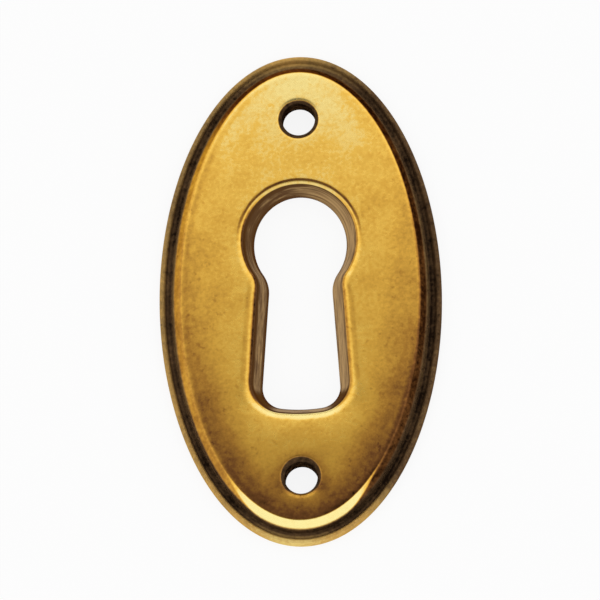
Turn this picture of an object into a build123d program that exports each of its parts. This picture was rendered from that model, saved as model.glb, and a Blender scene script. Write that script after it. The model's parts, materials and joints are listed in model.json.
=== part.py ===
from build123d import *
import os
from math import radians, sqrt, tan

# Oval keyhole escutcheon, cast in one piece. It lies on its flat back: +Z points out of its front,
# +Y runs along it towards the round head of the keyhole, and the origin is the middle of its back.

# Oval plate
plate_width = 25.0
plate_length = 45.0

# Moulded edge, from the outline inwards
lip_width = 0.50
lip_height = 0.80
lip_chamfer = 0.12
groove_width = 0.55
groove_depth = 0.30
groove_chamfer = 0.12
groove_wall_lean = 0.20
bevel_width = 0.64
bevel_rise = 0.71

# Field inside the moulded edge, crowned from its edge to its middle
field_edge_height = 1.9
field_edge_round = 0.16
field_crown = 0.5

# Keyhole and screw holes, moved together from the plate's middle
opening_shift = -0.18

# Keyhole, measured at the back, with walls that open towards the front, less at the top of the head
keyhole_length = 19.55
head_width = 8.2
head_length = 8.9
neck_width = 5.6
shoulder_radius = 3.0
slot_flare = 4.0
slot_corner_radius = 1.9
slot_foot_sag = 0.5
keyhole_draft = 24.0
head_top_share = 0.7
keyhole_edge_round = 0.32

# Countersunk screw holes, one at each end
screw_spacing = 33.0
screw_hole_diameter = 2.9
countersink_diameter = 3.65
countersink_angle = 90.0

# Levels and places that follow from the sizes above
groove_floor_height = lip_height - groove_depth
bevel_foot_height = field_edge_height - bevel_rise
crown_height = field_edge_height + field_crown
groove_inset = lip_width + groove_width
bevel_inset = groove_inset + groove_wall_lean
field_inset = bevel_inset + bevel_width
keyhole_top = opening_shift + keyhole_length / 2
keyhole_foot = opening_shift - keyhole_length / 2
head_middle = keyhole_top - head_length / 2
neck_level = keyhole_top - head_length

# A cut or a trimmed shape runs this far past the faces that end it
overrun = 0.5

# Share of a wall that the chamfer at each of its ends may take
chamfer_share = 0.4


def oval(inset, mode=Mode.ADD):
    """Oval that lies evenly inside the plate's outline."""
    return Ellipse(plate_width / 2 - inset, plate_length / 2 - inset, mode=mode)


def crown_radius(plate_span):
    """Radius of the arc that rises by the crown across the field, along one of the plate's axes."""
    half_span = plate_span / 2 - field_inset
    return (half_span**2 + field_crown**2) / (2 * field_crown)


def crown_drop(plate_span, place):
    """How far the field lies under its middle at a place on one of the plate's axes."""
    radius = crown_radius(plate_span)
    return radius - sqrt(radius**2 - place**2)


def slot_half_width(level):
    """Half width of the keyhole's slot at the back, which widens towards its foot."""
    return neck_width / 2 + (neck_level - level) * tan(radians(slot_flare))


def keyhole_outline(height):
    """Outline of the keyhole on one level of the plate, larger towards the front by the walls' draft."""
    grow = height * tan(radians(keyhole_draft))
    foot = keyhole_foot - grow
    corner = foot + slot_foot_sag
    head_half = slot_half_width(head_middle) + grow
    foot_half = slot_half_width(keyhole_foot) + grow
    with BuildSketch(Plane.XY.offset(height)) as outline:
        # Both halves of the head meet at its top on every level, so that the walls don't twist
        with BuildLine():
            for start in (-90, 90):
                EllipticalCenterArc(
                    (0, head_middle),
                    head_width / 2 + grow,
                    head_length / 2 + head_top_share * grow,
                    start_angle=start,
                    arc_size=180,
                )
        make_face()
        with BuildLine():
            Line((-head_half, head_middle), (head_half, head_middle))
            Line((head_half, head_middle), (foot_half, corner))
            ThreePointArc((foot_half, corner), (0, foot), (-foot_half, corner))
            Line((-foot_half, corner), (-head_half, head_middle))
        make_face()
        fillet(outline.vertices().group_by(Axis.Y)[0], slot_corner_radius + grow)
        fillet(outline.vertices().group_by(Axis.Y)[-2], shoulder_radius - grow)
    return outline.sketch


with BuildPart() as escutcheon_plate:
    # Flat foot of the plate, up to the floor of the groove
    with BuildSketch():
        oval(0)
    extrude(amount=groove_floor_height)

    # Lip along the outline, with both its edges broken
    with BuildSketch(Plane.XY.offset(groove_floor_height)):
        oval(0)
        oval(lip_width, Mode.SUBTRACT)
    extrude(amount=groove_depth)
    lip_edges = escutcheon_plate.edges().group_by(Axis.Z)[-1]
    chamfer(lip_edges, min(lip_chamfer, chamfer_share * min(lip_width, groove_depth)))

    # Inner wall of the groove, and the groove's floor, which narrows between its corners
    with BuildSketch(Plane.XY.offset(groove_floor_height)):
        oval(groove_inset)
    with BuildSketch(Plane.XY.offset(bevel_foot_height)):
        oval(bevel_inset)
    loft(ruled=True)
    groove_floor = escutcheon_plate.faces().filter_by(Plane.XY).group_by(Axis.Z)[1][0]
    chamfer(groove_floor.edges(), min(groove_chamfer, chamfer_share * min(groove_width, groove_depth)))

    # Bevel, carried up past the field
    bevel_top_height = crown_height + overrun
    bevel_top_inset = bevel_inset + (bevel_top_height - bevel_foot_height) * bevel_width / bevel_rise
    with BuildSketch(Plane.XY.offset(bevel_foot_height)):
        oval(bevel_inset)
    with BuildSketch(Plane.XY.offset(bevel_top_height)):
        oval(bevel_top_inset)
    loft(ruled=True)

    # Crown of the field: an arc across the plate, swept along a wider arc from end to end
    end_reach = plate_length / 2 + overrun
    end_level = crown_height - crown_drop(plate_length, end_reach)
    with BuildLine(Plane.YZ) as crown_line:
        ThreePointArc((-end_reach, end_level), (0, crown_height), (end_reach, end_level))
    side_reach = plate_width / 2 + overrun
    side_level = -crown_drop(plate_width, side_reach)
    back_level = -crown_height - overrun
    with BuildSketch(Plane(crown_line.line @ 0, x_dir=(-1, 0, 0), z_dir=crown_line.line % 0)):
        with BuildLine():
            ThreePointArc((-side_reach, side_level), (0, 0), (side_reach, side_level))
            Line((side_reach, side_level), (side_reach, back_level))
            Line((side_reach, back_level), (-side_reach, back_level))
            Line((-side_reach, back_level), (-side_reach, side_level))
        make_face()
    sweep(mode=Mode.INTERSECT)
    field = escutcheon_plate.faces().sort_by(Axis.Z)[-1]
    fillet(field.edges(), field_edge_round)

    # Keyhole, with the edge of the field rounded into it
    keyhole_ends = [keyhole_outline(-overrun), keyhole_outline(crown_height + overrun)]
    loft(keyhole_ends, ruled=True, mode=Mode.SUBTRACT)
    field = escutcheon_plate.faces().sort_by(Axis.Z)[-1]
    fillet(field.inner_wires()[0].edges(), keyhole_edge_round)

    # Screw holes, with countersinks cut from above the field
    rim_level = crown_height - crown_drop(plate_length, screw_spacing / 2)
    sink_level = rim_level + overrun
    sink_radius = countersink_diameter / 2 + overrun * tan(radians(countersink_angle / 2))
    with Locations((0, opening_shift, sink_level)):
        with GridLocations(0, screw_spacing, 1, 2):
            CounterSinkHole(screw_hole_diameter / 2, sink_radius, sink_level + overrun, countersink_angle)

escutcheon_plate.part.label = "escutcheon_plate"
os.makedirs("parts", exist_ok=True)
export_step(escutcheon_plate.part, "parts/escutcheon_plate.step")
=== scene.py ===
"""Oval keyhole escutcheon in antique brass, pressed by rule from a flat blank and set in a plain studio."""

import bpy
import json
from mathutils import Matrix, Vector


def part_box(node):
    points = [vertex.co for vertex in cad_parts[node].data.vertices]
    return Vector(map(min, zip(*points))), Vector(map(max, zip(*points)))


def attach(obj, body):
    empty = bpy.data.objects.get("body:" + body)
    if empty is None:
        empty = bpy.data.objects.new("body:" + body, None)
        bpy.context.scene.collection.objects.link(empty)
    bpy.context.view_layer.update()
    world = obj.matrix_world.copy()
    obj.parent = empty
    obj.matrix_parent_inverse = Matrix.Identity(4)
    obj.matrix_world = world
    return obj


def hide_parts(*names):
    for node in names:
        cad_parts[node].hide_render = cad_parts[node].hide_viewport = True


bl_info = {
    "name": "Keyhole Escutcheon",
    "version": (1, 0, 0),
    "blender": (4, 5, 0),
    "location": "3D View > Sidebar > Escutcheon",
    "description": "Presses an oval keyhole escutcheon in antique brass and sets it in a studio",
    "category": "Object",
}

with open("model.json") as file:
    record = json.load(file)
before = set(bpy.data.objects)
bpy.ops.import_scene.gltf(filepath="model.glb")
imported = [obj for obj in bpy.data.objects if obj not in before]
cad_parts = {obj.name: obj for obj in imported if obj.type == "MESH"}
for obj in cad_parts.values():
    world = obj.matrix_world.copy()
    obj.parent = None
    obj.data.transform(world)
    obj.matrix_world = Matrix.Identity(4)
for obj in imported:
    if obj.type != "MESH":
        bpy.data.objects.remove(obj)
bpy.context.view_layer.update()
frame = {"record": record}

import json
from math import atan2, cos, pi, radians, sin, sqrt, tan
from types import SimpleNamespace

import bpy
import numpy as np
from bpy.props import FloatProperty, FloatVectorProperty, IntProperty, PointerProperty
from mathutils import Matrix, Vector
from mathutils.geometry import delaunay_2d_cdt

NODE = "escutcheon_plate"
BODY = "root"
MM = 0.001

# The frame's own measures: the plate's box, and the place and size of its screw holes
PLATE_LOW, PLATE_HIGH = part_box(NODE)
SCREW_MOUNT = next(mount for mount in frame["record"]["mounts"] if mount["name"] == "screw_holes")
SCREW_DIMS = SCREW_MOUNT["dims"]


def length(name, description, default):
    """A length that a user may change, given in millimetres and kept in metres."""
    return FloatProperty(
        name=name, description=description, default=default * MM,
        precision=5, unit="LENGTH", subtype="DISTANCE",
    )


def angle(name, description, default):
    """An angle that a user may change, given in degrees and kept in radians."""
    return FloatProperty(name=name, description=description, default=radians(default), subtype="ANGLE")


def share(name, description, default):
    """A plain number between 0 and 1 that a user may change."""
    return FloatProperty(
        name=name, description=description, default=default, min=0.0, max=1.0, subtype="FACTOR"
    )


def level(name, description, default):
    """A plain number from 0 up that a user may change."""
    return FloatProperty(name=name, description=description, default=default, min=0.0)


def colour(name, description, default):
    """A linear colour that a user may change."""
    return FloatVectorProperty(
        name=name, description=description, default=default, size=3, min=0.0, max=1.0, subtype="COLOR"
    )


class PlateSizes(bpy.types.PropertyGroup):
    """Sizes of the plate, its moulded edge and its openings."""

    plate_width: length("Plate width", "Across the oval", (PLATE_HIGH.x - PLATE_LOW.x) / MM)
    plate_length: length("Plate length", "Along the oval", (PLATE_HIGH.y - PLATE_LOW.y) / MM)

    lip_width: length("Lip width", "From the outline to the groove", 0.50)
    lip_height: length("Lip height", "Top of the lip over the back", 0.80)
    lip_round: length("Lip round", "Width of the lip's rounded outer edge", 0.20)
    groove_width: length("Groove width", "From the lip to the groove's wall", 0.55)
    groove_depth: length("Groove depth", "Floor of the groove under the lip", 0.30)
    groove_round: length("Groove round", "Half width of the rounded step from lip to groove", 0.18)
    groove_wall_lean: length("Groove wall lean", "Width of the steep wall that rises from the groove", 0.20)
    bevel_width: length("Bevel width", "From the groove's wall to the field", 0.64)
    bevel_rise: length("Bevel rise", "Rise of the bevel up to the field", 0.71)
    field_edge_height: length("Field edge height", "Field over the back at its edge", 1.9)
    field_edge_round: length("Field edge round", "Size of the rounding between bevel and field", 0.26)
    field_crown: length("Field crown", "Rise of the field from its edge to its middle", 0.5)

    opening_shift: length("Opening shift", "Openings from the plate's middle", SCREW_MOUNT["pos_m"][1] / MM)
    keyhole_length: length("Keyhole length", "From head to foot, at the back", 19.55)
    head_width: length("Head width", "Across the keyhole's head, at the back", 8.2)
    head_length: length("Head length", "Along the keyhole's head, at the back", 8.9)
    neck_width: length("Neck width", "Slot under the head, at the back", 5.6)
    shoulder_radius: length("Shoulder radius", "Rounding between head and slot", 3.0)
    slot_flare: angle("Slot flare", "Lean of the slot's sides towards its foot", 4.0)
    slot_corner_radius: length("Slot corner radius", "Corners of the slot's foot", 1.9)
    slot_foot_sag: length("Slot foot sag", "Bow of the slot's foot", 0.5)
    keyhole_draft: angle("Keyhole draft", "Lean of the keyhole's walls", 24.0)
    head_top_share: share("Head top share", "Share of that lean at the top of the head", 0.7)
    keyhole_edge_round: length("Keyhole edge round", "Size of the rounding at the top of its walls", 0.32)
    keyhole_roll_width: length("Keyhole roll width", "Width of the field that rolls down to its edge", 0.68)
    keyhole_roll_depth: length("Keyhole roll depth", "How far the field rolls down there", 0.20)
    slot_roll_width: length("Slot roll width", "Width of the field that rolls to the slot's sides", 1.20)
    head_roll_width: length("Head roll width", "Width of the field that rolls down to its head's top", 0.60)
    foot_dish_width: length("Foot dish width", "Width of the field that sinks towards the slot's foot", 3.7)
    foot_dish_depth: length("Foot dish depth", "How far the field sinks there", 0.105)

    screw_spacing: length("Screw spacing", "Between the screw holes", SCREW_DIMS["spacing_y_mm"])
    screw_hole_radius: length("Screw hole radius", "Straight part of a hole", SCREW_DIMS["hole_r_mm"])
    sink_radius: length("Countersink radius", "Rim of a countersink", 1.825)
    sink_angle: angle("Countersink angle", "Full angle of a countersink", 90.0)
    sink_edge_round: length("Countersink edge round", "Size of the rounding at its rim", 0.10)
    sink_roll_width: length("Countersink roll width", "Width of the field that rolls down to its rim", 0.26)
    sink_roll_depth: length("Countersink roll depth", "How far the field rolls down there", 0.02)

    wave_depth: length("Wave depth", "Depth of the tumbled metal's waviness", 0.014)
    wave_size: length("Wave size", "Width of one wave of it", 2.6)
    wave_seed: IntProperty(name="Wave seed", description="Which waviness it is", default=3, min=0)


class BrassFinish(bpy.types.PropertyGroup):
    """Colours, grain and gloss of the antique brass."""

    # Worn brass also colours the painted highlights on the low bevel and at the keyhole's foot
    worn_brass: colour("Worn brass", "Metal rubbed bare on edges and high spots", (0.98, 0.84, 0.35))
    bright_brass: colour("Bright brass", "Metal under a trace of patina", (0.95, 0.58, 0.10))
    golden_brass: colour("Golden brass", "Metal of the field", (0.84, 0.47, 0.070))
    tan_patina: colour("Tan patina", "Thin patina", (0.50, 0.24, 0.040))
    brown_patina: colour("Brown patina", "Patina of the low end", (0.20, 0.080, 0.023))
    # Dark patina also colours the painted shade on the bevel's right side and top
    dark_patina: colour("Dark patina", "Thick patina of the bevel", (0.030, 0.011, 0.004))
    lip_golden: colour("Lip golden", "Rubbed metal of the lip", (0.71, 0.46, 0.14))
    lip_tan: colour("Lip tan", "Thin patina of the lip", (0.41, 0.265, 0.098))
    lip_brown: colour("Lip brown", "Patina of the lip", (0.17, 0.098, 0.046))
    # Groove black also colours the painted shade on the lip and groove's right side
    groove_black: colour("Groove black", "Thick patina in the groove", (0.022, 0.012, 0.007))
    wall_skin: colour("Wall skin", "Dull skin of the keyhole's walls", (0.54, 0.35, 0.15))
    wall_streak: colour("Wall streak", "Streaks along the keyhole's walls", (0.12, 0.058, 0.024))
    wall_sheen: colour("Wall sheen", "Sheen of that skin at a low angle", (0.94, 0.83, 0.72))
    bare_roughness: share("Bare roughness", "Roughness of the bare metal", 0.25)
    patina_roughness: share("Patina roughness", "Roughness of the patina", 0.50)
    lip_roughness: share("Lip roughness", "Roughness of the lip and the groove", 0.72)
    cloud_size: length("Cloud size", "Width of the patina's clouds", 2.6)
    cloud_strength: share("Cloud strength", "How much the clouds change the patina", 0.40)
    grain_size: length("Grain size", "Width of the tumbled grain", 0.36)
    grain_strength: share("Grain strength", "How much the grain changes the patina", 0.42)
    grain_depth: length("Grain depth", "Depth of the tumbled grain", 0.005)
    speck_size: length("Speck size", "Spacing of the dark specks", 0.60)
    speck_strength: share("Speck strength", "How much the specks darken the patina", 0.15)
    bare_mottle: share("Bare mottle", "Share of the clouds and grain that shows on bare metal", 0.22)
    full_mottle: share("Full mottle", "Patina where all of the clouds and grain show", 0.26)
    least_patina: share("Least patina", "Share of the patina that the clouds and grain leave", 0.75)
    streak_length: length("Streak length", "Length of the streaks on the keyhole's walls", 2.4)
    streak_width: length("Streak width", "Width of those streaks", 0.30)


class PatinaSettings(bpy.types.PropertyGroup):
    """Where the patina lies and how thick it is there, from 0 for bare metal to 1 for black; some of these
    settings lay painted highlights and painted shade in the same way.
    """

    # Field top makes the field lighter towards its top, a painted highlight
    field_top: share("Field top", "Patina of the field at its top", 0.04)
    field_middle: share("Field middle", "Patina of the field in its middle", 0.225)
    # The low end settings darken the field towards its low end, and less along its edge beside the low end
    low_end: share("Low end", "Patina that the low end has beyond that", 0.55)
    low_end_start: length("Low end start", "Level where the low end's patina starts", 9.0)
    low_end_full: length("Low end full", "Level where it is full", -17.0)
    low_end_reach: length("Low end reach", "How far it reaches in from the outline", 6.2)
    low_end_lighter: share("Low end rub", "Share of it that is rubbed off at the field's sides", 0.45)
    low_end_lighter_width: length("Low end rub width", "Width of that rubbed edge", 1.4)
    # The halo lightens the field round the keyhole: rubbed metal, with a painted highlight under the slot's
    # foot
    halo: share("Halo", "How far the metal is rubbed round the keyhole", 0.06)
    foot_halo: share("Foot halo", "How far it is rubbed under the slot's foot", 0.05)
    halo_reach: length("Halo reach", "How wide it is rubbed there", 3.0)
    # The countersink band darkens the field round the lower countersink, and lightens its side that faces
    # up as a painted highlight
    sink_band: share("Countersink band", "Patina round the lower countersink, beyond the field's", 0.26)
    sink_band_width: length("Countersink band width", "Width of that patina", 1.3)
    # The edge band darkens a band inside the field's left edge
    edge_band: share("Edge band", "Patina along the field's edge, beyond the field's", 0.10)
    edge_band_width: length("Edge band width", "Width of that patina", 0.85)
    # The right edge settings are painted shade inside the field's right edge, widest at the low end
    right_edge: share("Right edge", "Patina along the field's right edge, beyond the field's", 0.07)
    right_edge_low: share("Low right edge", "Patina there at the low end", 0.36)
    right_edge_width: length("Right edge width", "Width of that patina", 1.8)
    # The crescent is a painted highlight where the bevel curves round the low end
    crescent: share("Crescent", "Patina of the bevel's bare crescent at the low end", 0.0)
    crescent_tip: angle("Crescent tip", "Where it runs out, from the low end round the plate", 42.0)
    crescent_full: angle("Crescent full", "Where it is as wide as the bevel", 18.0)
    # The roll settings paint highlights on the keyhole's rolled edge, brightest at the slot's foot, and
    # painted shade where it meets the walls, darker at the left wall
    roll_foot: share("Roll at the foot", "Patina of the keyhole's rolled edge at the slot's foot", 0.02)
    roll_side: share("Roll at the sides", "Patina of that edge at the keyhole's sides", 0.16)
    roll_left: share("Roll at the left wall", "Patina where that edge meets the left wall", 0.92)
    roll_right: share("Roll at the right wall", "Patina where it meets the right wall", 0.50)
    # Head line is a painted dark reflection round the top of the head
    head_line: share("Head line", "Patina of the line round the top of the head", 0.72)
    sink: share("Countersink", "Patina of the countersinks", 0.86)
    # Low countersink is a painted highlight where the lower countersink faces up
    sink_low: share("Low countersink", "Patina of the lower countersink where it faces up", 0.35)
    bore: share("Bore", "Patina of the screw holes under the countersinks", 0.96)
    back: share("Back", "Patina of the back", 0.55)


class StudioSettings(bpy.types.PropertyGroup):
    """Floor, light and viewing angle."""

    floor_size: length("Floor size", "Side of the square floor", 3000)
    floor_gap: length("Floor gap", "Floor under the plate's back", 0.02)
    floor_colour: colour("Floor colour", "Plain pale floor", (0.95, 0.95, 0.95))
    floor_glow: share("Floor glow", "Share of the floor that shows as plain white", 0.88)
    tent_level: level("Tent level", "Brightness of the light tent", 1.30)
    gap_level: level("Gap level", "Brightness of the opening that the tent leaves for the camera", 0.06)
    gap_tilt: angle("Gap tilt", "Middle of that opening, from straight above towards -Y", 11.0)
    gap_yaw: angle("Gap yaw", "Middle of that opening, turned towards -X", 3.2)
    gap_inner: angle("Gap inner", "Angle from its middle where the opening starts to brighten", 19.0)
    gap_outer: angle("Gap outer", "Angle from its middle where the tent is fully bright", 32.2)
    view_tilt: angle("View tilt", "Camera from straight above towards -Y", 16.5)
    view_yaw: angle("View yaw", "Camera turned towards +X", 3.2)
    view_roll: angle("View roll", "Plate turned in the picture", 0.42)
    view_distance: length("View distance", "Camera from the plate", 1200)
    view_width: length("View width", "Width of the picture at the plate", 53.083)
    view_right: length("View right", "Middle of the picture to the right of the plate's", -0.080)
    view_up: length("View up", "Middle of the picture above the plate's", 0.136)


class Value:
    """One output of a node. Outputs that hold numbers add, multiply and so on by way of Math nodes."""

    def __init__(self, wire, socket):
        self.wire = wire
        self.socket = socket

    def __add__(self, other):
        return self.wire.math("ADD", self, other)

    def __sub__(self, other):
        return self.wire.math("SUBTRACT", self, other)

    def __rsub__(self, other):
        return self.wire.math("SUBTRACT", other, self)

    def __mul__(self, other):
        return self.wire.math("MULTIPLY", self, other)

    def __truediv__(self, other):
        return self.wire.math("DIVIDE", self, other)

    def __rtruediv__(self, other):
        return self.wire.math("DIVIDE", other, self)

    def __pow__(self, other):
        return self.wire.math("POWER", self, other)

    def __neg__(self):
        return self * -1.0


class Wiring:
    """Adds nodes to a tree and joins them, so that a rule reads as a line of sums."""

    def __init__(self, tree):
        self.tree = tree
        tree.nodes.clear()

    def add(self, kind, inputs=None, **settings):
        """A node with its settings, and a constant or another node's output on each named input."""
        node = self.tree.nodes.new(kind)
        for name, setting in settings.items():
            setattr(node, name, setting)
        for key, given in (inputs or {}).items():
            if isinstance(given, Value):
                self.tree.links.new(given.socket, node.inputs[key])
            else:
                node.inputs[key].default_value = given
        return node

    def value(self, kind, inputs=None, output=0, **settings):
        """One output of a new node."""
        return Value(self, self.add(kind, inputs, **settings).outputs[output])

    def math(self, operation, *values):
        return self.value("ShaderNodeMath", dict(enumerate(values)), operation=operation)

    def most(self, first, *others):
        for other in others:
            first = self.math("MAXIMUM", first, other)
        return first

    def soft_least(self, first, second, width):
        """The lesser of two values, rounded over where they differ by less than the width."""
        return self.math("SMOOTH_MIN", first, second, width)

    def rise(self, value, start, end):
        """0 at the start and 1 at the end, with an even swing between. The start may be the greater."""
        inputs = {"Value": value, "From Min": start, "From Max": end}
        return self.value("ShaderNodeMapRange", inputs, interpolation_type="SMOOTHSTEP")

    def between(self, low, high, factor):
        """A number that goes from low to high with the factor."""
        return self.value("ShaderNodeMapRange", {"Value": factor, "To Min": low, "To Max": high})

    def blend(self, first, second, factor):
        """A colour that goes from the first to the second with the factor."""
        return self.value("ShaderNodeMix", {0: factor, 6: first, 7: second}, 2, data_type="RGBA")

    def ramp(self, value, stops, interpolation="LINEAR"):
        """A colour that goes through the stops, each a place between 0 and 1 and a colour."""
        node = self.add("ShaderNodeValToRGB", {0: value})
        node.color_ramp.interpolation = interpolation
        elements = node.color_ramp.elements
        for position, shade in stops[1:-1]:
            elements.new(position)
        for element, (position, shade) in zip(elements, stops):
            element.position = position
            element.color = shade
        return Value(self, node.outputs[0])

    def around(self, turn, tones):
        """A number that goes through the tones, each at its angle in degrees, once round the turn."""
        stops = [(degrees / 360 + 0.5, (tone, tone, tone, 1.0)) for degrees, tone in tones.items()]
        return self.ramp(turn * (0.5 / pi) + 0.5, stops, "EASE")

    def noise(self, place, size, detail=2.0, roughness=0.5):
        """Noise about 0, mostly between -0.5 and 0.5, whose clouds have the given size."""
        inputs = {"Vector": place, "Scale": 1 / size, "Detail": detail, "Roughness": roughness}
        return self.value("ShaderNodeTexNoise", inputs) - 0.5


def rows(start, *bands):
    """Places of the rows after the start. Each band has its end and the number of rows up to it."""
    places = []
    for end, count in bands:
        places += list(np.linspace(start, end, count + 1)[1:])
        start = end
    return places


# Halvings that find a place, and fine steps round the oval that space its points evenly
HALVINGS = 60
FINE_STEPS = 20000


def bisect(function, low, high):
    """Where the function changes its sign between low and high."""
    sign_low = function(low) > 0
    for _ in range(HALVINGS):
        middle = (low + high) / 2
        if (function(middle) > 0) == sign_low:
            low = middle
        else:
            high = middle
    return (low + high) / 2


class Oval:
    """The plate's outline and the ovals inside it."""

    def __init__(self, sizes, count):
        self.half = np.array([sizes.plate_width / 2, sizes.plate_length / 2])
        turn = np.linspace(0, 2 * pi, FINE_STEPS + 1)
        path = self.half * np.stack([np.cos(turn), np.sin(turn)], 1)
        travelled = np.concatenate([[0], np.cumsum(np.linalg.norm(np.diff(path, axis=0), axis=1))])
        even = np.arange(count) * travelled[-1] / count
        turn = np.interp(even, travelled, turn)
        self.directions = np.stack([np.cos(turn), np.sin(turn)], 1)

    def ring(self, inset):
        """Points of the oval that lies so far inside the outline."""
        return (self.half - inset) * self.directions

    def inset(self, points):
        """How far inside the outline each point lies, up to nearly half the plate's width."""
        nearly_half = 0.999 * self.half[0]
        low = np.zeros(len(points))
        high = np.full(len(points), nearly_half)
        for _ in range(HALVINGS):
            middle = (low + high) / 2
            outside = np.sum((points / (self.half - middle[:, None])) ** 2, 1) > 1
            high = np.where(outside, middle, high)
            low = np.where(outside, low, middle)
        return (low + high) / 2


class Keyhole:
    """The keyhole's outline at the back, and its rings further out in the metal."""

    def __init__(self, sizes, spacing):
        top = sizes.opening_shift + sizes.keyhole_length / 2
        foot = sizes.opening_shift - sizes.keyhole_length / 2
        middle = top - sizes.head_length / 2
        neck = top - sizes.head_length
        lean = tan(sizes.slot_flare)
        half_head = np.array([sizes.head_width, sizes.head_length]) / 2
        wall_start = np.array([sizes.neck_width / 2 + (neck - middle) * lean, middle])
        foot_half = sizes.neck_width / 2 + (neck - foot) * lean
        wall_end = np.array([foot_half, foot + sizes.slot_foot_sag])
        along = (wall_end - wall_start) / np.linalg.norm(wall_end - wall_start)
        outward = np.array([-along[1], along[0]])

        def head(turn):
            normal = np.array([cos(turn), sin(turn)]) / half_head
            point = np.array([0, middle]) + half_head * (cos(turn), sin(turn))
            return point, normal / np.linalg.norm(normal)

        def shoulder_centre(turn):
            point, normal = head(turn)
            return point + sizes.shoulder_radius * normal

        def past_wall(turn):
            return (shoulder_centre(turn) - wall_start) @ outward - sizes.shoulder_radius

        head_end = bisect(past_wall, 0, -pi / 2)
        shoulder = shoulder_centre(head_end)
        wall_top = shoulder - sizes.shoulder_radius * outward

        foot_radius = (foot_half**2 + sizes.slot_foot_sag**2) / (2 * sizes.slot_foot_sag)
        foot_centre = np.array([0, foot + foot_radius])

        def corner_centre(travel):
            return wall_start + travel * along - sizes.slot_corner_radius * outward

        def past_foot(travel):
            reach = np.linalg.norm(corner_centre(travel) - foot_centre)
            return reach - (foot_radius - sizes.slot_corner_radius)

        corner = corner_centre(bisect(past_foot, 0, sizes.keyhole_length))
        wall_foot = corner + sizes.slot_corner_radius * outward
        foot_side = corner - foot_centre
        foot_turn = atan2(foot_side[1], foot_side[0])
        wall_turn = atan2(outward[1], outward[0])

        points, normals = [], []

        def run(count, place):
            for i in range(count):
                point, normal = place(i / count)
                points.append(point)
                normals.append(normal)

        def arc(centre, radius, start, end, side):
            def place(t):
                turn = start + (end - start) * t
                direction = np.array([cos(turn), sin(turn)])
                return centre + radius * direction, side * direction
            return place

        tangent = wall_top - shoulder
        meeting = head(head_end)[0] - shoulder
        shoulder_start = atan2(meeting[1], meeting[0]) % (2 * pi)
        shoulder_end = atan2(tangent[1], tangent[0]) % (2 * pi)
        wall_length = np.linalg.norm(wall_foot - wall_top)
        head_length = (pi / 2 - head_end) * half_head.mean()
        shoulder_length = abs(shoulder_end - shoulder_start) * sizes.shoulder_radius
        corner_length = (wall_turn - foot_turn) * sizes.slot_corner_radius
        foot_length = (foot_turn + pi / 2) * foot_radius

        run(round(head_length / spacing), lambda t: head(pi / 2 + (head_end - pi / 2) * t))
        run(round(shoulder_length / spacing),
            arc(shoulder, sizes.shoulder_radius, shoulder_start, shoulder_end, -1))
        run(round(wall_length / spacing), lambda t: (wall_top + (wall_foot - wall_top) * t, outward))
        run(round(corner_length / spacing), arc(corner, sizes.slot_corner_radius, wall_turn, foot_turn, 1))
        run(round(foot_length / spacing), arc(foot_centre, foot_radius, foot_turn, -pi / 2, 1))
        points.append(np.array([0, foot]))
        normals.append(np.array([0, -1]))

        mirror = np.array([-1, 1])
        right, right_normals = np.array(points), np.array(normals)
        # The outline runs anticlockwise: up the right side from the foot, then down the left side
        self.points = np.concatenate([right[::-1], (right * mirror)[1:-1]])
        self.normals = np.concatenate([right_normals[::-1], (right_normals * mirror)[1:-1]])

    def ring(self, reach):
        """Points so far outside the keyhole, in the metal."""
        return self.points + reach * self.normals

    def nearest(self, points):
        """How far each point lies outside the keyhole (below 0 inside), and which way its edge faces."""
        gaps = np.linalg.norm(points[:, None, :] - self.points[None, :, :], axis=2)
        nearest = gaps.argmin(1)
        normals = self.normals[nearest]
        side = np.sum((points - self.points[nearest]) * normals, 1)
        return np.where(side < 0, -gaps.min(1), np.maximum(side, 0)), normals

    def reach(self, points):
        return self.nearest(points)[0]


# Delaunay net: keep the triangles inside the loops, and join points only where they are the same
INSIDE_LOOPS = 1
MERGE_DISTANCE = 1e-9


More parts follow.
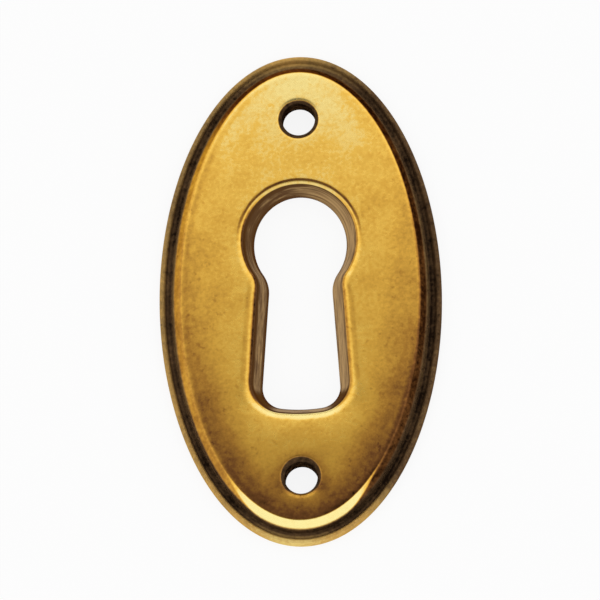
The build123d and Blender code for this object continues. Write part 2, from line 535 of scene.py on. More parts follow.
class Blank:
    """Flat mesh of the plate before pressing: rings of quads along its edges and an even net between."""

    def __init__(self):
        self.places = []
        self.front = []
        self.back = []
        self.faces = []

    def add(self, points, front, back=0.0):
        """Numbers of new points. Front is 1 where they are to rise, back is 1 inside the flat back."""
        start = len(self.places)
        self.places.extend(map(tuple, points))
        self.front.extend([front] * len(points))
        self.back.extend([back] * len(points))
        return np.arange(start, start + len(points))

    def strip(self, first, second, inwards):
        """Quads between two rings of as many points. Inwards says that the second lies inside the first."""
        count = len(first)
        for i in range(count):
            j = (i + 1) % count
            quad = [first[i], first[j], second[j], second[i]]
            self.faces.append(quad if inwards else quad[::-1])

    def rings(self, place, stops, first, inwards):
        """Rings at each stop, one after the other, joined to the first. Gives the last one."""
        for stop in stops:
            ring = self.add(place(stop), 1.0)
            self.strip(first, ring, inwards)
            first = ring
        return first

    def fill(self, loops, inner_points, front, wanted):
        """Triangles between closed loops, through the inner points. Wanted tells which middles to keep."""
        rings = np.concatenate(loops)
        inner = self.add(inner_points, front, 1.0 - front)
        numbers = np.concatenate([rings, inner])
        edges, start = [], 0
        for loop in loops:
            edges += [(start + i, start + (i + 1) % len(loop)) for i in range(len(loop))]
            start += len(loop)
        flat = [Vector(self.places[n]) for n in numbers]
        coords, _, triangles, *_ = delaunay_2d_cdt(flat, edges, [], INSIDE_LOOPS, MERGE_DISTANCE)
        if len(coords) != len(flat):
            raise RuntimeError("the flat blank's loops cross each other")
        corners = np.array([[self.places[numbers[i]] for i in t] for t in triangles])
        keep = wanted(corners.mean(1))
        sides = np.cross(corners[:, 1] - corners[:, 0], corners[:, 2] - corners[:, 0])
        for triangle, kept, side in zip(triangles, keep, sides):
            if kept:
                face = [numbers[i] for i in triangle]
                upwards = side > 0
                self.faces.append(face if upwards == (front > 0) else face[::-1])


def net(half, spacing):
    """Points of an even triangular net over a box of that half size."""
    row_spacing = spacing * sqrt(0.75)
    last_row = int(half[1] / row_spacing) + 1
    last_column = int(half[0] / spacing) + 1
    points = []
    for row in range(-last_row, last_row + 1):
        shift = 0.5 * (row % 2)
        columns = range(-last_column, last_column + 1)
        points += [((column + shift) * spacing, row * row_spacing) for column in columns]
    return np.array(points)


# Points round the outline and round each screw hole, and their spacing elsewhere
OVAL_POINTS = 560
HOLE_POINTS = 84
KEYHOLE_SPACING = 0.18 * MM
FIELD_SPACING = 0.25 * MM
BACK_SPACING = 1.0 * MM

# Half width of the close rows along a rounded edge, and width of the row beside the edges of the back
CLOSE_ROWS = 0.14 * MM
BACK_EDGE = 0.12 * MM

# Share of its spacing that an even net keeps clear of the rings round it
NET_ROOM = 0.7


def flat_blank(sizes):
    """The blank as a mesh, with the distances that its rule reads kept on its points."""
    oval = Oval(sizes, OVAL_POINTS)
    keyhole = Keyhole(sizes, KEYHOLE_SPACING)
    centres = [np.array([0, sizes.opening_shift + side * sizes.screw_spacing / 2]) for side in (1, -1)]
    turn = np.linspace(0, 2 * pi, HOLE_POINTS, endpoint=False)
    circle = np.stack([np.cos(turn), np.sin(turn)], 1)

    groove_inset = sizes.lip_width + sizes.groove_width
    bevel_inset = groove_inset + sizes.groove_wall_lean
    field_inset = bevel_inset + sizes.bevel_width
    rim_stops = [0] + [sizes.lip_round * (1 - cos(t)) for t in rows(0, (pi / 2, 8))]
    rim_stops += rows(
        sizes.lip_round,
        (sizes.lip_width - sizes.groove_round, 2),
        (sizes.lip_width + sizes.groove_round, 8),
        (groove_inset, 4),
        (bevel_inset, 9),
        (field_inset - CLOSE_ROWS, 12),
        (field_inset + CLOSE_ROWS, 9),
        (field_inset + 4 * CLOSE_ROWS, 3),
    )

    draft = tan(sizes.keyhole_draft)
    key_edge_start = sizes.head_top_share * sizes.field_edge_height * draft - CLOSE_ROWS
    key_edge_end = (sizes.field_edge_height + sizes.field_crown) * draft + CLOSE_ROWS
    key_roll_end = key_edge_end + sizes.slot_roll_width
    key_stops = rows(0, (key_edge_start, 5), (key_edge_end, 30), (key_roll_end, 12))
    sink_start = sizes.sink_radius - sizes.screw_hole_radius - CLOSE_ROWS
    sink_end = sizes.sink_radius - sizes.screw_hole_radius + CLOSE_ROWS
    hole_stops = [0] + rows(0, (sink_start, 4), (sink_end, 10), (sink_end + sizes.sink_roll_width, 3))

    blank = Blank()
    outline = blank.add(oval.ring(0), 0.0)
    rim = blank.rings(oval.ring, rim_stops, outline, True)
    key_back = blank.add(keyhole.ring(0), 0.0)
    key_rim = blank.rings(keyhole.ring, key_stops, key_back, False)
    hole_backs, hole_rims = [], []
    for centre in centres:
        def hole_ring(reach, centre=centre):
            return centre + (sizes.screw_hole_radius + reach) * circle
        hole_backs.append(blank.add(hole_ring(0), 0.0))
        hole_rims.append(blank.rings(hole_ring, hole_stops, hole_backs[-1], False))

    def nearest_hole(points):
        """How far each point lies outside the nearest screw hole, and above that hole's middle."""
        upper = points[:, 1] > sizes.opening_shift
        away = points - np.where(upper[:, None], *centres)
        return np.linalg.norm(away, axis=1) - sizes.screw_hole_radius, away[:, 1]

    def past_openings(points, key_limit, hole_limit):
        """Which points lie further than the limits from the keyhole and from the screw holes."""
        return (keyhole.reach(points) > key_limit) & (nearest_hole(points)[0] > hole_limit)

    def cover(loops, rim_limit, key_limit, hole_limit, spacing, front):
        """An even net between the loops, which lie at those limits."""
        room = NET_ROOM * spacing
        grid = net(oval.half, spacing)
        inside = oval.inset(grid) > rim_limit + room
        grid = grid[inside & past_openings(grid, key_limit + room, hole_limit + room)]
        blank.fill(loops, grid, front, lambda points: past_openings(points, key_limit, hole_limit))

    front_loops = [rim, key_rim, *hole_rims]
    cover(front_loops, rim_stops[-1], key_stops[-1], hole_stops[-1], FIELD_SPACING, 1.0)

    def back_ring(border, points, inwards):
        """Ring of the back beside one of its edges."""
        ring = blank.add(points, 0.0, 1.0)
        blank.strip(border, ring, inwards)
        return ring

    back_loops = [
        back_ring(outline, oval.ring(BACK_EDGE), False),
        back_ring(key_back, keyhole.ring(BACK_EDGE), True),
    ]
    for centre, border in zip(centres, hole_backs):
        ring = centre + (sizes.screw_hole_radius + BACK_EDGE) * circle
        back_loops.append(back_ring(border, ring, True))
    cover(back_loops, BACK_EDGE, BACK_EDGE, BACK_EDGE, BACK_SPACING, 0.0)

    places = np.array(blank.places)
    mesh = bpy.data.meshes.new("plate_blank")
    mesh.from_pydata([(x, y, 0) for x, y in places], [], [[int(n) for n in face] for face in blank.faces])
    key_reach, key_facing = keyhole.nearest(places)
    hole_reach, hole_rise = nearest_hole(places)
    measures = {
        "front": np.array(blank.front),
        "back": np.array(blank.back),
        "inset": oval.inset(places),
        "key_reach": key_reach,
        "key_side": key_facing[:, 0],
        "key_end": key_facing[:, 1],
        "hole_reach": hole_reach,
        "hole_rise": hole_rise,
    }
    for name, values in measures.items():
        mesh.attributes.new(name, "FLOAT", "POINT").data.foreach_set("value", values.astype(np.float32))
    return mesh


# Sizes that shape the flat blank alone. All others are inputs of the rule that presses it
BLANK_SIZES = (
    "opening_shift", "keyhole_length", "head_width", "head_length", "neck_width", "shoulder_radius",
    "slot_flare", "slot_corner_radius", "slot_foot_sag",
)

# Tone of each band of the moulded edge at angles round the plate, from +X towards +Y: patina, darkest in
# the groove, with painted shade on the right side and on the bevel at the top, and painted highlights at
# the low end and at the top of the lip, groove and field's edge
LIP_PATINA_AND_PAINTED_LIGHT = {
    -180: 0.42, -125: 0.28, -95: 0.08, -70: 0.24, -40: 0.74, 10: 0.83, 60: 0.70, 92: 0.28, 140: 0.52,
    180: 0.42,
}
GROOVE_PATINA_AND_PAINTED_LIGHT = {
    -180: 0.79, -120: 0.86, -95: 0.46, -65: 0.86, 0: 0.92, 55: 0.86, 92: 0.34, 130: 0.82, 180: 0.79,
}
CORNER_PATINA_AND_PAINTED_LIGHT = {
    -180: 0.88, -120: 0.94, -95: 0.74, -65: 0.96, 0: 1.00, 55: 0.92, 92: 0.60, 130: 0.90, 180: 0.88,
}
WALL_PATINA_AND_PAINTED_LIGHT = {
    -180: 0.62, -120: 0.86, -95: 0.84, -70: 0.90, -45: 0.80, 10: 0.70, 60: 0.78, 92: 0.75, 140: 0.70,
    180: 0.62,
}
BEVEL_PATINA_AND_PAINTED_LIGHT = {
    -180: 0.48, -130: 0.48, -112: 0.42, -92: 0.50, -70: 0.80, -55: 0.90, 10: 0.98, 70: 0.96, 95: 0.80,
    115: 0.86, 145: 0.42, 180: 0.48,
}
EDGE_PATINA_AND_PAINTED_LIGHT = {
    -180: 0.50, -130: 0.44, -92: 0.30, -60: 0.45, -42: 0.78, -20: 0.75, 5: 0.58, 40: 0.16, 90: 0.04,
    145: 0.28, 180: 0.50,
}

# Where each mask of the rule starts and where it is full
MASKS = {
    # by the y part of the way that the keyhole's edge faces
    "head_facing": (0.0, 0.9),
    "head_line_facing": (-0.1, 0.5),
    "slot_facing": (-0.8, -0.2),
    "foot_facing": (-0.3, -0.95),
    "dish_facing": (0.0, -0.7),
    "corner_side": (-0.10, -0.45),
    "corner_foot": (-1.0, -0.80),
    # by the place along the plate
    "head_level": (1.0 * MM, 5.0 * MM),
    "slot_level": (2.5 * MM, -1.0 * MM),
    "dish_level": (-3.0 * MM, -7.0 * MM),
    "corner_level": (-4.0 * MM, -8.0 * MM),
    # by shares of the field's half width or half length
    "left_side": (0.0, -0.6),
    "right_side": (0.0, 0.6),
    "low_half": (0.0, -0.5),
    "top_end": (0.28, 1.05),
    # by shares of a band's width, from the rim inwards
    "edge_band_near": (0.15, 0.45),
    "edge_band_far": (1.0, 0.6),
    "right_edge": (1.0, 0.0),
    "right_edge_near": (0.4, 0.0),
    # by shares of the roll's width, from the keyhole outwards
    "roll": (1.0, 0.5),
    "right_line": (0.26, 0.06),
    "left_line": (0.22, 0.03),
    "head_line_near": (0.30, 0.45),
    "head_line_far": (0.80, 0.65),
    "head_skin": (0.7, 0.4),
    # by depth under the keyhole's edge, and by height over the back
    "under_edge": (0.02 * MM, 0.16 * MM),
    "edge_shade": (0.85 * MM, 0.25 * MM),
    "back_shade": (0.55 * MM, 0.10 * MM),
    # by the countersink's radius, by depth in it, and by the way out from the straight hole
    "sink_low_side": (-0.5, -0.95),
    "sink_depth": (-0.02 * MM, 0.10 * MM),
    "bore_top": (0.06 * MM, 0.0),
    # by the angle from the low end, and by its share of the crescent's
    "lighter_turn": (radians(12), radians(45)),
    "crescent_fade": (1.0, 0.6),
}

# How strongly some of them work
HEAD_HIGHLIGHT = 0.6
HEAD_SKIN = 0.2
LOW_SINK_HIGHLIGHT = -0.4
RIGHT_WALL_SHADE = 0.3
CORNER_SHADE = 0.8
BESIDE_HEAD_SHADE = 0.35

# Share of the groove wall's width over which bands blend, and of the groove that its dark corner takes
BAND_SOFTNESS = 0.4
CORNER_SHARE = 0.45


def press_tree(sizes, patina, material):
    """The rule that presses the blank: its height at each point, and how thick the patina lies there, with
    painted highlights and painted shade laid on the same way.
    """
    tree = bpy.data.node_groups.new("press_plate", "GeometryNodeTree")
    for direction in ("INPUT", "OUTPUT"):
        tree.interface.new_socket("Geometry", in_out=direction, socket_type="NodeSocketGeometry")
    wire = Wiring(tree)
    press_sizes = [name for name in PlateSizes.__annotations__ if name not in BLANK_SIZES]
    values, titles = {}, {}
    for group, names in ((sizes, press_sizes), (patina, PatinaSettings.__annotations__)):
        for name in names:
            titles[name] = group.bl_rna.properties[name].name
            socket = tree.interface.new_socket(titles[name], in_out="INPUT", socket_type="NodeSocketFloat")
            values[socket.identifier] = float(getattr(group, name))
    given = wire.add("NodeGroupInput").outputs
    size = SimpleNamespace(**{name: Value(wire, given[title]) for name, title in titles.items()})

    def measure(name):
        return wire.value("GeometryNodeInputNamedAttribute", {"Name": name}, data_type="FLOAT")

    def mask(value, name):
        """0 where the named mask starts and 1 where it is full."""
        return wire.rise(value, *MASKS[name])

    front, back, inset = measure("front"), measure("back"), measure("inset")
    key_reach, key_side, key_end = measure("key_reach"), measure("key_side"), measure("key_end")
    hole_reach, hole_rise = measure("hole_reach"), measure("hole_rise")
    place = wire.value("GeometryNodeInputPosition")
    x, y = [wire.value("ShaderNodeSeparateXYZ", {0: place}, axis) for axis in "XY"]

    # Levels that follow from the sizes
    groove_inset = size.lip_width + size.groove_width
    bevel_inset = groove_inset + size.groove_wall_lean
    field_inset = bevel_inset + size.bevel_width
    groove_floor = size.lip_height - size.groove_depth
    bevel_foot = size.field_edge_height - size.bevel_rise
    half_width = size.plate_width * 0.5 - field_inset
    half_length = size.plate_length * 0.5 - field_inset

    def crowned(across, along):
        """The field's height at a place on the plate."""
        spread = (across / half_width) ** 2.0 + (along / half_length) ** 2.0
        return size.field_edge_height + size.field_crown * (1.0 - spread)

    def rolled(height, past_edge, width, depth):
        """The height, lowered towards an edge in an even curve."""
        near = wire.between(1.0, 0.0, past_edge / width)
        return height - depth * near * near * near

    # Field and bevel, and the walls of the keyhole and of the countersinks
    field = crowned(x, y)
    bevel = bevel_foot + (inset - bevel_inset) * (size.bevel_rise / size.bevel_width)
    to_top = wire.most(key_end, 0.0)
    steeper = (1.0 - size.head_top_share) * to_top * to_top
    draft = wire.math("TANGENT", size.keyhole_draft) * (1.0 - steeper)
    key_wall = key_reach / draft
    key_edge = key_reach - field * draft
    sink_slope = wire.math("TANGENT", size.sink_angle * 0.5)
    sink_rim = crowned(0.0, size.screw_spacing * 0.5)
    sink_edge = hole_reach + size.screw_hole_radius - size.sink_radius
    sink_wall = sink_rim + sink_edge / sink_slope

    # The least of those heights, rolled and rounded where they meet
    top = wire.soft_least(bevel, field, size.field_edge_round)
    foot_dish = size.foot_dish_depth * mask(key_end, "dish_facing") * mask(y, "dish_level")
    top = rolled(top, key_edge, size.foot_dish_width, foot_dish)
    at_head = mask(key_end, "head_facing")
    at_slot = mask(y, "slot_level") * mask(key_end, "slot_facing")
    roll = wire.between(size.keyhole_roll_width, size.head_roll_width, at_head)
    roll = wire.between(roll, size.slot_roll_width, at_slot)
    top = rolled(top, key_edge, roll, size.keyhole_roll_depth)
    top = wire.soft_least(top, key_wall, size.keyhole_edge_round)
    top = rolled(top, sink_edge, size.sink_roll_width, size.sink_roll_depth)
    top = wire.soft_least(top, sink_wall, size.sink_edge_round)

    # Lip and groove outside the bevel
    lip_share = wire.math("MINIMUM", inset / size.lip_round, 1.0)
    lip_rise = wire.math("SQRT", lip_share * (2.0 - lip_share))
    lip_start = size.lip_width - size.groove_round
    lip_end = size.lip_width + size.groove_round
    low = groove_floor + size.groove_depth * (lip_rise * wire.rise(inset, lip_end, lip_start))
    height = wire.between(low, top, wire.rise(inset, groove_inset, bevel_inset))

    # Waviness, which only takes metal away
    seed = wire.value("ShaderNodeCombineXYZ", {2: size.wave_seed})
    waves = {0: place, "Scale": 1.0 / size.wave_size}
    wave_place = wire.value("ShaderNodeVectorMath", waves, operation="SCALE")
    wave_place = wire.value("ShaderNodeVectorMath", {0: wave_place, 1: seed}, operation="ADD")
    wave = wire.noise(wave_place, 1.0, detail=1.0) + 0.5
    height = height - size.wave_depth * wave
    lift = wire.value("ShaderNodeCombineXYZ", {2: height * front})

    # Tone of the field: patina, with the painted highlights and painted shade marked below
    past_rim = inset - field_inset
    x_share, y_share = x / half_width, y / half_length
    turn = wire.math("ARCTAN2", y / size.plate_length, x / size.plate_width)
    round_low_end = wire.math("ABSOLUTE", turn + pi / 2)
    # Darker towards the low end, less so along the field's edge beside the low end
    low_end_lighter = size.low_end_lighter * wire.rise(past_rim, size.low_end_lighter_width, 0.0)
    low_end_lighter = low_end_lighter * mask(round_low_end, "lighter_turn")
    low_end = wire.rise(y, size.low_end_start, size.low_end_full)
    low_end = low_end * wire.rise(inset, size.low_end_reach, field_inset) * (1.0 - low_end_lighter)
    # Lighter round the keyhole: rubbed metal, with a painted highlight under the slot's foot
    at_foot = mask(key_end, "foot_facing")
    halo = wire.between(size.halo, size.foot_halo, at_foot) * wire.rise(key_edge, size.halo_reach, 0.0)
    # Darker round the lower countersink, with a painted highlight on its side that faces up
    at_low_hole = wire.rise(y, 0.0, size.low_end_full)
    faces_up = mask(hole_rise / size.sink_radius, "sink_low_side")
    sink_band = wire.between(size.sink_band, size.sink_band * LOW_SINK_HIGHLIGHT, faces_up)
    sink_band = sink_band * wire.rise(sink_edge, size.sink_band_width, 0.0) * at_low_hole
    # Darker band inside the field's left edge
    in_band = past_rim / size.edge_band_width
    edge_band = mask(in_band, "edge_band_far") * mask(in_band, "edge_band_near")
    edge_band = edge_band * mask(x_share, "left_side") * size.edge_band
    # Painted shade inside the field's right edge, widest at the low end
    in_band = past_rim / size.right_edge_width
    low_right = mask(y_share, "low_half") * mask(in_band, "right_edge_near")
    right_edge = wire.between(size.right_edge, size.right_edge_low, low_right)
    right_edge = right_edge * mask(in_band, "right_edge") * mask(x_share, "right_side")
    # Painted highlight: the field is lighter towards its top
    tone = wire.between(size.field_middle, size.field_top, mask(y_share, "top_end"))
    tone = tone + low_end * size.low_end + edge_band + sink_band + right_edge - halo

    # Tone of the edge that rolls into the keyhole: painted highlights, brightest at the slot's foot and at
    # the head, painted shade where it meets the walls, darker at the left wall, and a painted dark
    # reflection in a line round the top of the head
    facing_right = wire.rise(key_side, 1.0, -1.0)
    in_roll = key_edge / roll
    roll_tone = wire.between(size.roll_side, size.roll_foot, wire.most(at_foot, at_head * HEAD_HIGHLIGHT))
    tone = wire.between(tone, roll_tone, mask(in_roll, "roll"))
    wall_line = wire.between(size.roll_right, size.roll_left, facing_right)
    wall_line = wire.between(wall_line, roll_tone, wire.most(at_foot, at_head))
    line_ends = zip(MASKS["right_line"], MASKS["left_line"])
    line_start, line_full = [wire.between(right, left, facing_right) for right, left in line_ends]
    tone = wire.between(tone, wall_line, wire.rise(in_roll, line_start, line_full))
    head_line = mask(in_roll, "head_line_far") * mask(in_roll, "head_line_near")
    head_line = head_line * mask(key_end, "head_line_facing")
    tone = wire.between(tone, size.head_line, head_line)

    # Tone of the moulded edge: patina, with painted shade and painted highlights that differ from side to
    # side, and a painted highlight on the bevel's crescent at the low end
    soft = size.groove_wall_lean * BAND_SOFTNESS
    corner = groove_inset - size.groove_width * CORNER_SHARE
    rim_tone = wire.around(turn, LIP_PATINA_AND_PAINTED_LIGHT)
    bands = (
        (wire.around(turn, GROOVE_PATINA_AND_PAINTED_LIGHT), size.lip_width),
        (wire.around(turn, CORNER_PATINA_AND_PAINTED_LIGHT), corner),
        (wire.around(turn, WALL_PATINA_AND_PAINTED_LIGHT), groove_inset),
        (wire.around(turn, BEVEL_PATINA_AND_PAINTED_LIGHT), bevel_inset + soft),
        (wire.around(turn, EDGE_PATINA_AND_PAINTED_LIGHT), field_inset - soft),
        (tone, field_inset + soft),
    )
    for band_tone, start in bands:
        rim_tone = wire.between(rim_tone, band_tone, wire.rise(inset, start - soft, start + soft))
    # Painted highlight: the bevel's crescent at the low end
    crescent_width = wire.rise(round_low_end, size.crescent_tip, size.crescent_full)
    crescent_width = crescent_width * (size.bevel_width + soft)
    past_crescent = past_rim - (soft - crescent_width)
    crescent = wire.rise(past_crescent, -soft, soft) * wire.rise(past_rim, soft, 0.0)
    crescent = crescent * mask(round_low_end / size.crescent_tip, "crescent_fade")
    rim_tone = wire.between(rim_tone, size.crescent, crescent)
    moulding = wire.rise(inset, bevel_inset + soft + soft, bevel_inset)

    # Skin on the keyhole's walls, with painted shade right under its edge, at the back, in the corners of
    # the slot's foot and on the left wall beside the head
    key_drop = field - key_wall
    under_edge = mask(key_drop, "under_edge")
    skin = wire.most(under_edge, at_head * mask(in_roll, "head_skin") * HEAD_SKIN)
    shade = wire.most(mask(key_drop, "edge_shade"), mask(key_wall, "back_shade"))
    shade = shade * under_edge * wire.between(RIGHT_WALL_SHADE, 1.0, facing_right)
    at_corner = mask(key_end, "corner_side") * mask(key_end, "corner_foot") * mask(y, "corner_level")
    beside_head = facing_right * mask(y, "head_level")
    line = shade + at_corner * CORNER_SHADE + beside_head * BESIDE_HEAD_SHADE

    # Patina in the screw holes, with a painted highlight where the lower countersink faces up, and patina
    # of the back
    low_rim = faces_up * at_low_hole
    sink_tone = wire.between(size.sink, size.sink_low, low_rim)
    sink_tone = wire.between(sink_tone, size.bore, mask(hole_reach, "bore_top"))
    hole = mask(field - sink_wall, "sink_depth")
    moulding = wire.most(moulding, hole * (1.0 - low_rim))
    tone = wire.between(rim_tone, sink_tone, hole)
    tone = wire.between(tone, size.back, back)
    not_back = 1.0 - back

    # Patina carries the patina with painted highlights and painted shade; line carries painted shade on the
    # keyhole's walls
    stored = {
        "patina": tone,
        "lip": moulding * not_back,
        "skin": skin * not_back,
        "line": line,
        "drop": key_drop,
        "facing_right": facing_right,
    }
    geometry = Value(wire, given["Geometry"])
    for name, value in stored.items():
        inputs = {"Geometry": geometry, "Name": name, "Value": value}
        geometry = wire.value("GeometryNodeStoreNamedAttribute", inputs, data_type="FLOAT", domain="POINT")
    geometry = wire.value("GeometryNodeSetPosition", {"Geometry": geometry, "Offset": lift})
    geometry = wire.value("GeometryNodeSetShadeSmooth", {0: geometry})
    geometry = wire.value("GeometryNodeRealizeInstances", {0: geometry})
    geometry = wire.value("GeometryNodeSetMaterial", {"Geometry": geometry, "Material": material})
    wire.add("NodeGroupOutput", {0: geometry})
    return tree, values


def pressed(blank, tree, values):
    """The blank after pressing, as a plain mesh."""
    press = bpy.data.objects.new("press", blank)
    bpy.context.scene.collection.objects.link(press)
    modifier = press.modifiers.new("press", "NODES")
    modifier.node_group = tree
    for identifier, value in values.items():
        modifier[identifier] = value
    bpy.context.view_layer.update()
    result = press.evaluated_get(bpy.context.evaluated_depsgraph_get())
    mesh = bpy.data.meshes.new_from_object(result)
    press.modifiers.remove(modifier)
    bpy.data.objects.remove(press)
    bpy.data.meshes.remove(blank)
    bpy.data.node_groups.remove(tree)
    return mesh


# Colours of the field and of the lip and groove, by how thick the patina is, from bare metal to black; the
# same colours show the painted highlights and painted shade
FIELD_LAYERS = {
    0.0: "worn_brass", 0.14: "bright_brass", 0.24: "golden_brass", 0.5: "tan_patina", 0.75: "brown_patina",
    1.0: "dark_patina",
}
LIP_LAYERS = {0.0: "worn_brass", 0.2: "lip_golden", 0.5: "lip_tan", 0.75: "lip_brown", 1.0: "groove_black"}

# Noise where the specks and the streaks start and where they are full
SPECK_NOISE = (0.12, 0.28)
STREAK_NOISE = (-0.16, 0.34)

# How far the painted shade of the walls' dark line and of the side that faces right adds to the streaks
LINE_SHADE = 0.45
RIGHT_SHADE = 0.14

# How far the grain changes the gloss, and what the painted shade of the dark line leaves of the skin's
# sheen
GRAIN_GLOSS = 0.16
LINE_SHEEN = 0.3


def antique_brass(finish):
    """Tumbled brass under a brown patina that is thick in the groove and rubbed off the edges, whose tone
    also carries painted highlights and painted shade.
    """
    material = bpy.data.materials.new("antique_brass")
    material.use_nodes = True
    wire = Wiring(material.node_tree)
    place = wire.value("ShaderNodeTexCoord", output="Object")

    def mask(name):
        return wire.value("ShaderNodeAttribute", output="Fac", attribute_name=name)

    def paint(name):
        return (*getattr(finish, name), 1.0)

    clouds = wire.noise(place, finish.cloud_size, detail=4.0, roughness=0.6)
    grain = wire.noise(place, finish.grain_size, detail=3.0, roughness=0.65)
    specks = wire.rise(wire.noise(place, finish.speck_size), *SPECK_NOISE)
    mottle = clouds * finish.cloud_strength + grain * finish.grain_strength + specks * finish.speck_strength
    # The patina attribute also carries painted highlights and painted shade
    shown = wire.between(finish.bare_mottle, 1.0, mask("patina") / finish.full_mottle)
    patina = wire.most(mask("patina") + mottle * shown, mask("patina") * finish.least_patina)

    def layers(colours):
        """The patina's colours, each at the depth where it shows."""
        return wire.ramp(patina, [(depth, paint(name)) for depth, name in colours.items()])

    metal = wire.blend(layers(FIELD_LAYERS), layers(LIP_LAYERS), mask("lip"))

    # Streaks run along the keyhole's walls, darkened by the painted shade of the dark line and of the side
    # that faces right
    x, y = [wire.value("ShaderNodeSeparateXYZ", {0: place}, axis) for axis in "XY"]
    along = (x + y) / finish.streak_length
    down = mask("drop") / finish.streak_width
    streak_place = wire.value("ShaderNodeCombineXYZ", {0: along, 1: down})
    streaks = wire.noise(streak_place, 1.0, detail=3.0, roughness=0.6)
    streaks = streaks + mask("line") * LINE_SHADE + mask("facing_right") * RIGHT_SHADE
    skin = wire.blend(paint("wall_skin"), paint("wall_streak"), wire.rise(streaks, *STREAK_NOISE))
    metal = wire.blend(metal, skin, mask("skin"))

    gloss = wire.between(finish.bare_roughness, finish.patina_roughness, wire.most(patina, mask("skin")))
    gloss = wire.between(gloss, finish.lip_roughness, mask("lip")) + grain * GRAIN_GLOSS
    relief = {"Strength": 1.0, "Distance": finish.grain_depth, "Height": grain}
    normal = wire.value("ShaderNodeBump", relief)
    sheen = mask("skin") * wire.between(1.0, LINE_SHEEN, mask("line"))
    tint = wire.blend(metal, paint("wall_sheen"), sheen)
    inputs = {
        "Base Color": metal, "Specular Tint": tint, "Metallic": 1.0, "Roughness": gloss, "Normal": normal,
    }
    shader = wire.value("ShaderNodeBsdfPrincipled", inputs)
    wire.add("ShaderNodeOutputMaterial", {"Surface": shader})
    return material


# Edges of the pressed plate that turn by more than this stay sharp
SHARP_ANGLE = radians(50)


class ESCUTCHEON_OT_plate(bpy.types.Operator):
    """Press the plate from its blank and finish it in antique brass"""

    bl_idname = "escutcheon.plate"
    bl_label = "Plate"

    def execute(self, context):
        sizes = context.scene.escutcheon_sizes
        material = antique_brass(context.scene.escutcheon_finish)
        rule = press_tree(sizes, context.scene.escutcheon_patina, material)
        mesh = pressed(flat_blank(sizes), *rule)
        mesh.name = "pressed_plate"
        mesh.set_sharp_from_angle(angle=SHARP_ANGLE)
        plate = bpy.data.objects.new("pressed_plate", mesh)
        context.scene.collection.objects.link(plate)
        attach(plate, BODY)
        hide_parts(NODE)
        return {"FINISHED"}


# Kinds of rays that see the floor as near white
SEEN_BY = ("Camera", "Glossy", "Transmission")


def studio_floor(studio):
    """Plain pale floor that shows as near white, takes the plate's shadow and is open from below."""
    half, low = studio.floor_size / 2, -studio.floor_gap
    corners = [(-half, -half, low), (half, -half, low), (half, half, low), (-half, half, low)]
    mesh = bpy.data.meshes.new("floor")
    mesh.from_pydata(corners, [], [(0, 1, 2, 3)])
    material = bpy.data.materials.new("pale_floor")
    material.use_nodes = True
    wire = Wiring(material.node_tree)
    rays = [wire.value("ShaderNodeLightPath", output=f"Is {kind} Ray") for kind in SEEN_BY]
    matt = wire.value("ShaderNodeBsdfDiffuse", {"Color": (*studio.floor_colour, 1.0)})
    white = wire.value("ShaderNodeEmission", {"Strength": 1.0})
    glow = wire.most(*rays) * studio.floor_glow
    mixed = wire.value("ShaderNodeMixShader", {0: glow, 1: matt, 2: white})
    below = wire.value("ShaderNodeNewGeometry", output="Backfacing")
    clear = wire.value("ShaderNodeBsdfTransparent")
    mixed = wire.value("ShaderNodeMixShader", {0: below, 1: mixed, 2: clear})
    wire.add("ShaderNodeOutputMaterial", {"Surface": mixed})
    mesh.materials.append(material)
    floor = bpy.data.objects.new("floor", mesh)
    bpy.context.scene.collection.objects.link(floor)


def light_tent(studio):
    """Soft white tent all round, with a darker opening on the camera's side."""
    world = bpy.data.worlds.new("light_tent")
    world.use_nodes = True
    bpy.context.scene.world = world
    wire = Wiring(world.node_tree)
    ray = wire.value("ShaderNodeTexCoord", output="Generated")
    gap = (-sin(studio.gap_yaw), -sin(studio.gap_tilt), cos(studio.gap_tilt) * cos(studio.gap_yaw))
    facing = wire.value("ShaderNodeVectorMath", {0: ray, 1: gap}, "Value", operation="DOT_PRODUCT")
    away = wire.math("ARCCOSINE", facing)
    inputs = {
        "Value": away, "From Min": studio.gap_inner, "From Max": studio.gap_outer,
        "To Min": studio.gap_level, "To Max": studio.tent_level,
    }
    strength = wire.value("ShaderNodeMapRange", inputs)
    light = wire.value("ShaderNodeBackground", {"Strength": strength})
    wire.add("ShaderNodeOutputWorld", {"Surface": light})


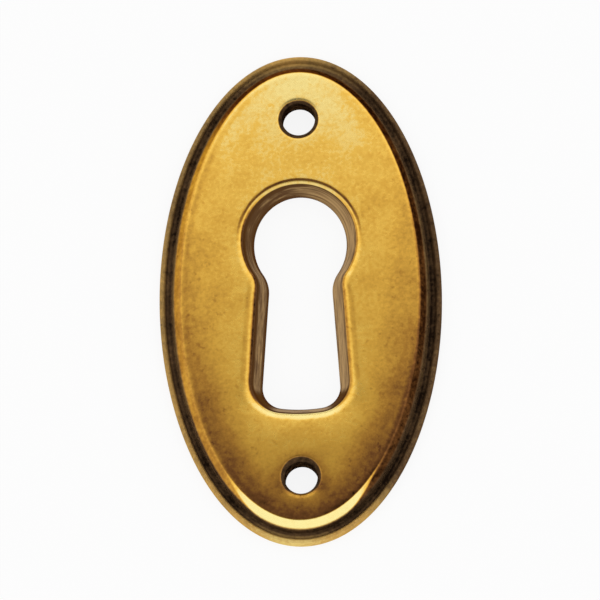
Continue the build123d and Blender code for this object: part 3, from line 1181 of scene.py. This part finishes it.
def studio_camera(studio):
    """Camera at the photograph's viewing angle, far off behind a long lens."""
    turn = Matrix.Rotation(studio.view_roll, 3, "Z")
    turn = turn @ Matrix.Rotation(studio.view_tilt, 3, "X").transposed()
    turn = turn @ Matrix.Rotation(studio.view_yaw, 3, "Y").transposed()
    right, up, back = turn[0], turn[1], turn[2]
    place = back * studio.view_distance + right * studio.view_right + up * studio.view_up
    data = bpy.data.cameras.new("camera")
    data.sensor_width = 36.0
    data.lens = data.sensor_width * studio.view_distance / studio.view_width
    data.clip_start = 0.1
    data.clip_end = 10.0
    camera = bpy.data.objects.new("camera", data)
    camera.matrix_world = Matrix.Translation(place) @ turn.transposed().to_4x4()
    bpy.context.scene.collection.objects.link(camera)
    bpy.context.scene.camera = camera


class ESCUTCHEON_OT_stage(bpy.types.Operator):
    """Set the floor, the light and the camera"""

    bl_idname = "escutcheon.stage"
    bl_label = "Stage"

    def execute(self, context):
        studio = context.scene.escutcheon_studio
        studio_floor(studio)
        light_tent(studio)
        studio_camera(studio)
        context.scene.view_settings.view_transform = "Standard"
        return {"FINISHED"}


class ESCUTCHEON_PT_panel(bpy.types.Panel):
    """Lists what may be changed on the escutcheon and its studio, and the steps that build them"""

    bl_idname = "ESCUTCHEON_PT_panel"
    bl_label = "Keyhole Escutcheon"
    bl_space_type = "VIEW_3D"
    bl_region_type = "UI"
    bl_category = "Escutcheon"

    def draw(self, context):
        layout = self.layout
        for title, (name, _) in GROUPS.items():
            layout.label(text=title)
            settings = getattr(context.scene, name)
            for setting in settings.__annotations__:
                layout.prop(settings, setting)
        layout.operator(ESCUTCHEON_OT_plate.bl_idname)
        layout.operator(ESCUTCHEON_OT_stage.bl_idname)


GROUPS = {
    "Sizes": ("escutcheon_sizes", PlateSizes),
    "Finish": ("escutcheon_finish", BrassFinish),
    "Patina": ("escutcheon_patina", PatinaSettings),
    "Studio": ("escutcheon_studio", StudioSettings),
}
CLASSES = (
    PlateSizes, BrassFinish, PatinaSettings, StudioSettings,
    ESCUTCHEON_OT_plate, ESCUTCHEON_OT_stage, ESCUTCHEON_PT_panel,
)


def register():
    for cls in CLASSES:
        bpy.utils.register_class(cls)
    for name, group in GROUPS.values():
        setattr(bpy.types.Scene, name, PointerProperty(type=group))


def unregister():
    for name, _ in GROUPS.values():
        delattr(bpy.types.Scene, name)
    for cls in reversed(CLASSES):
        bpy.utils.unregister_class(cls)


def main():
    register()
    bpy.ops.escutcheon.plate()
    bpy.ops.escutcheon.stage()


if __name__ == "__main__":
    main()
